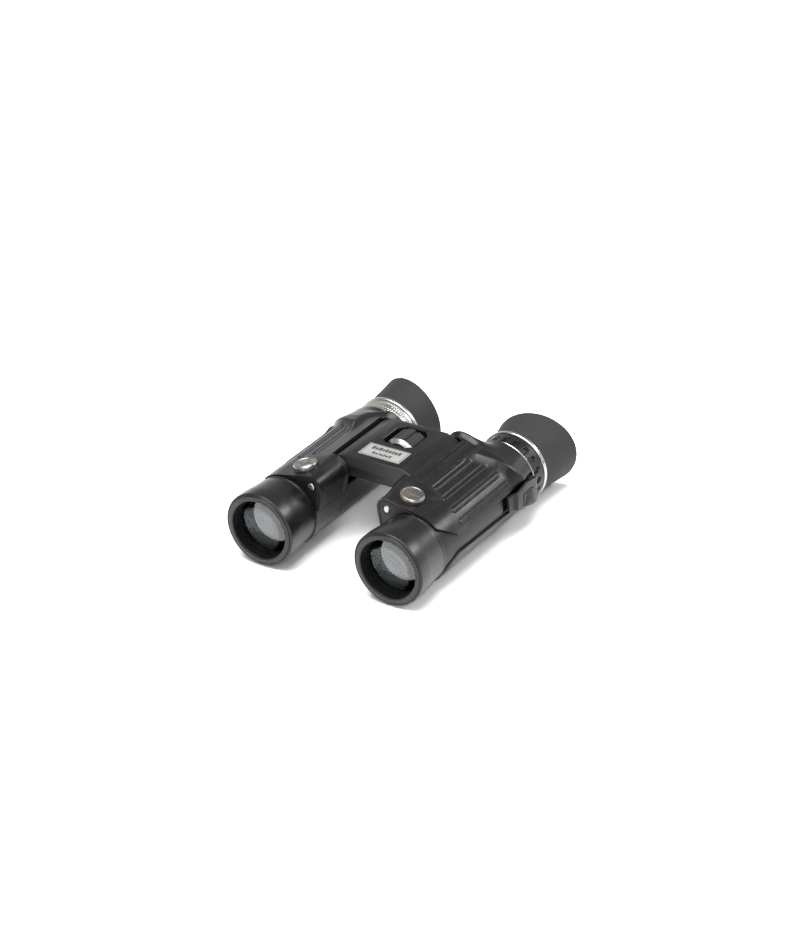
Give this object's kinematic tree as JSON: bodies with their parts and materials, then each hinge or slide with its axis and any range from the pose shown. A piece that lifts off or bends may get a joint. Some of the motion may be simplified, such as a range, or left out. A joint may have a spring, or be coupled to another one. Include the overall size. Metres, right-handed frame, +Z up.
{
  "type": "binoculars",
  "caption": "Compact roof-prism binoculars: two armoured barrels that fold about their own hinges under a short bridge with a centre focus wheel.",
  "frame": {"origin": "centre of the footprint at the lowest point, with the barrels opened out and level", "axes": "+Z up; +Y from the objectives to the eyepieces, along the barrels; +X to the user's left, the side of the diopter ring"},
  "size_m": [0.111, 0.1348, 0.0446],
  "materials": {
    "black_armour": "satin black moulded armour",
    "black_metal": "satin black paint over metal",
    "black_rubber": "matte black rubber",
    "dark_plastic": "matte black plastic",
    "bright_silver": "polished",
    "satin_silver": "satin, fine brushed",
    "steel": "ground",
    "brass": "turned",
    "coated_glass": "polished, anti-reflection coated",
    "prism_glass": "polished"
  },
  "bodies": {
    "bridge": {"bridge_housing": "black_armour", "bridge_bottom_cover": "dark_plastic", "badge_plate": "satin_silver", "left_front_hinge_pin": "steel", "right_front_hinge_pin": "steel", "left_rear_hinge_pin": "steel", "right_rear_hinge_pin": "steel"},
    "focus_wheel": {"focus_wheel": "black_rubber", "focus_wheel_bezel": "bright_silver", "focus_spindle": "steel"},
    "focus_carrier": {"focus_carrier": "brass", "left_focus_rod": "steel", "right_focus_rod": "steel"},
    "left_barrel": {"left_objective_hood": "black_metal", "left_objective_retainer": "dark_plastic", "left_objective_lens": "coated_glass", "left_barrel_housing": "dark_plastic", "left_top_cover": "black_armour", "left_bottom_cover": "black_armour", "left_hinge_cap": "bright_silver", "left_medallion": "satin_silver", "left_prism_cage": "dark_plastic", "left_half_prism": "prism_glass", "left_roof_prism": "prism_glass", "left_front_trim_ring": "bright_silver", "left_rear_trim_ring": "bright_silver", "left_strap_lug": "black_armour"},
    "right_barrel": {"right_objective_hood": "black_metal", "right_objective_retainer": "dark_plastic", "right_objective_lens": "coated_glass", "right_barrel_housing": "dark_plastic", "right_top_cover": "black_armour", "right_bottom_cover": "black_armour", "right_hinge_cap": "bright_silver", "right_medallion": "satin_silver", "right_prism_cage": "dark_plastic", "right_half_prism": "prism_glass", "right_roof_prism": "prism_glass", "right_front_trim_ring": "bright_silver", "right_rear_trim_ring": "bright_silver", "right_strap_lug": "black_armour", "right_ocular_cell": "black_metal", "right_field_lens": "coated_glass", "right_eye_lens": "coated_glass", "right_eyepiece_band": "satin_silver"},
    "left_focus_cell": {"left_focus_cell": "black_metal", "left_focus_lens": "coated_glass"},
    "right_focus_cell": {"right_focus_cell": "black_metal", "right_focus_lens": "coated_glass"},
    "left_diopter_ring": {"left_diopter_ring": "dark_plastic"},
    "left_ocular": {"left_ocular_cell": "black_metal", "left_field_lens": "coated_glass", "left_eye_lens": "coated_glass"},
    "left_eyecup": {"left_eyecup": "black_rubber"},
    "right_eyecup": {"right_eyecup": "black_rubber"},
    "left_release_button": {"left_release_button": "dark_plastic"},
    "right_release_button": {"right_release_button": "dark_plastic"}
  },
  "joints": [
    {"name": "focus_wheel_turn", "type": "hinge", "parent": "bridge", "child": "focus_wheel", "pos_m": [0, 0.00411, 0.0357], "axis": [0, 1, 0], "range_deg": [-90, 360]},
    {"name": "focus_carrier_slide", "type": "slide", "parent": "bridge", "child": "focus_carrier", "axis": [0, 1, 0], "range_m": [-0.0009, 0.0036]},
    {"name": "left_barrel_fold", "type": "hinge", "parent": "bridge", "child": "left_barrel", "pos_m": [0.0206, -0.00739, 0.0347], "axis": [0, 1, 0], "range_deg": [-3, 42]},
    {"name": "right_barrel_fold", "type": "hinge", "parent": "bridge", "child": "right_barrel", "pos_m": [-0.0206, -0.00739, 0.0347], "axis": [0, -1, 0], "range_deg": [-3, 42]},
    {"name": "left_focus_cell_slide", "type": "slide", "parent": "left_barrel", "child": "left_focus_cell", "axis": [0, 1, 0], "range_m": [-0.0009, 0.0036]},
    {"name": "right_focus_cell_slide", "type": "slide", "parent": "right_barrel", "child": "right_focus_cell", "axis": [0, 1, 0], "range_m": [-0.0009, 0.0036]},
    {"name": "left_diopter_turn", "type": "hinge", "parent": "left_barrel", "child": "left_diopter_ring", "pos_m": [0.035, 0.03561, 0.0192], "axis": [0, 1, 0], "range_deg": [-60, 60]},
    {"name": "left_ocular_slide", "type": "slide", "parent": "left_barrel", "child": "left_ocular", "axis": [0, 1, 0], "range_m": [-0.0008, 0.0008]},
    {"name": "left_eyecup_turn", "type": "hinge", "parent": "left_barrel", "child": "left_eyecup", "pos_m": [0.035, 0.04461, 0.0192], "axis": [0, 1, 0], "range_deg": [-90, 90]},
    {"name": "right_eyecup_turn", "type": "hinge", "parent": "right_barrel", "child": "right_eyecup", "pos_m": [-0.035, 0.04461, 0.0192], "axis": [0, -1, 0], "range_deg": [-90, 90]},
    {"name": "left_release_press", "type": "slide", "parent": "left_barrel", "child": "left_release_button", "axis": [-1, 0, 0], "range_m": [0, 0.0008], "stiffness_N_per_m": 800},
    {"name": "right_release_press", "type": "slide", "parent": "right_barrel", "child": "right_release_button", "axis": [1, 0, 0], "range_m": [0, 0.0008], "stiffness_N_per_m": 800}
  ],
  "couplings": [
    {"joint": "focus_wheel_turn", "follows": "focus_carrier_slide", "rad_per_m": 1745.3},
    {"joint": "left_focus_cell_slide", "follows": "focus_carrier_slide", "ratio": 1},
    {"joint": "right_focus_cell_slide", "follows": "focus_carrier_slide", "ratio": 1},
    {"joint": "left_diopter_turn", "follows": "left_ocular_slide", "rad_per_m": 1309}
  ]
}
